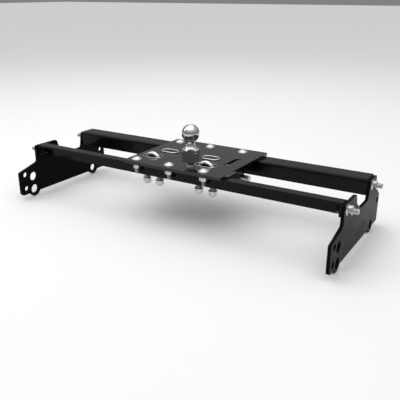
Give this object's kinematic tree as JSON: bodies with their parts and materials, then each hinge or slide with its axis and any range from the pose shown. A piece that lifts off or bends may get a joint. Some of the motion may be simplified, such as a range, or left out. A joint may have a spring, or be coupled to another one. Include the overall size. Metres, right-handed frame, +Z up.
{
  "type": "under-bed gooseneck hitch",
  "caption": "Under-bed truck hitch: two cross rails between side frame brackets carry a plate with a lift-out ball, its sprung lock and two sprung safety chain loops.",
  "frame": {"origin": "on the floor under the middle of the whole hitch", "axes": "+X along the rails to the right, +Y across them towards the far rail, +Z up along the ball's axis"},
  "size_m": [1.187, 0.439, 0.293],
  "materials": {
    "black_coat": "glossy black powder coat",
    "black_deck": "glossy black powder coat, smoother than the rails",
    "bright_ball": "polished chrome plate",
    "bright_rod": "bright plated rod",
    "zinc": "bright zinc plate",
    "spring_steel": "oiled spring wire",
    "machined_steel": "machined steel, lightly oiled"
  },
  "bodies": {
    "frame": {"near_rail": "black_coat", "far_rail": "black_coat", "near_rail_end_lugs": "black_coat", "far_rail_end_lugs": "black_coat", "left_bracket": "black_coat", "right_bracket": "black_coat", "centre_plate": "black_deck", "left_pocket_rim": "bright_rod", "right_pocket_rim": "bright_rod", "left_pocket_cup": "black_coat", "right_pocket_cup": "black_coat", "left_oval_trim": "bright_rod", "right_oval_trim": "bright_rod", "carriage_bolts": "zinc", "carriage_nuts": "zinc", "rail_end_bolts": "zinc", "rail_end_nuts": "zinc", "ball_socket": "black_coat", "latch_housing": "black_coat", "inner_slide_guide": "black_coat", "outer_slide_guide": "black_coat", "latch_spring": "spring_steel", "left_loop_springs": "spring_steel", "right_loop_springs": "spring_steel"},
    "ball": {"hitch_ball": "bright_ball"},
    "slide": {"lock_slide": "machined_steel", "lock_post": "machined_steel"},
    "latch": {"latch_pin": "machined_steel", "follower_pin": "machined_steel", "latch_collar": "machined_steel"},
    "left_loop": {"left_chain_loop": "bright_rod", "left_loop_washers": "zinc", "left_loop_nuts": "zinc"},
    "right_loop": {"right_chain_loop": "bright_rod", "right_loop_washers": "zinc", "right_loop_nuts": "zinc"}
  },
  "joints": [
    {"name": "ball_lift", "type": "slide", "parent": "frame", "child": "ball", "axis": [0, 0, 1], "range_m": [0, 0.115]},
    {"name": "lock_slide_travel", "type": "slide", "parent": "frame", "child": "slide", "axis": [0, 1, 0], "range_m": [0, 0.057]},
    {"name": "latch_pin_travel", "type": "slide", "parent": "frame", "child": "latch", "axis": [-1, 0, 0], "range_m": [0, 0.019], "deforming": ["latch_spring"]},
    {"name": "left_loop_lift", "type": "slide", "parent": "frame", "child": "left_loop", "axis": [0, 0, 1], "range_m": [0, 0.025], "stiffness_N_per_m": 800, "springref_m": -0.008, "deforming": ["left_loop_springs"]},
    {"name": "right_loop_lift", "type": "slide", "parent": "frame", "child": "right_loop", "axis": [0, 0, 1], "range_m": [0, 0.025], "stiffness_N_per_m": 800, "springref_m": -0.008, "deforming": ["right_loop_springs"]}
  ],
  "couplings": [
    {"joint": "latch_pin_travel", "follows": "lock_slide_travel", "ratio": 0.33333}
  ]
}
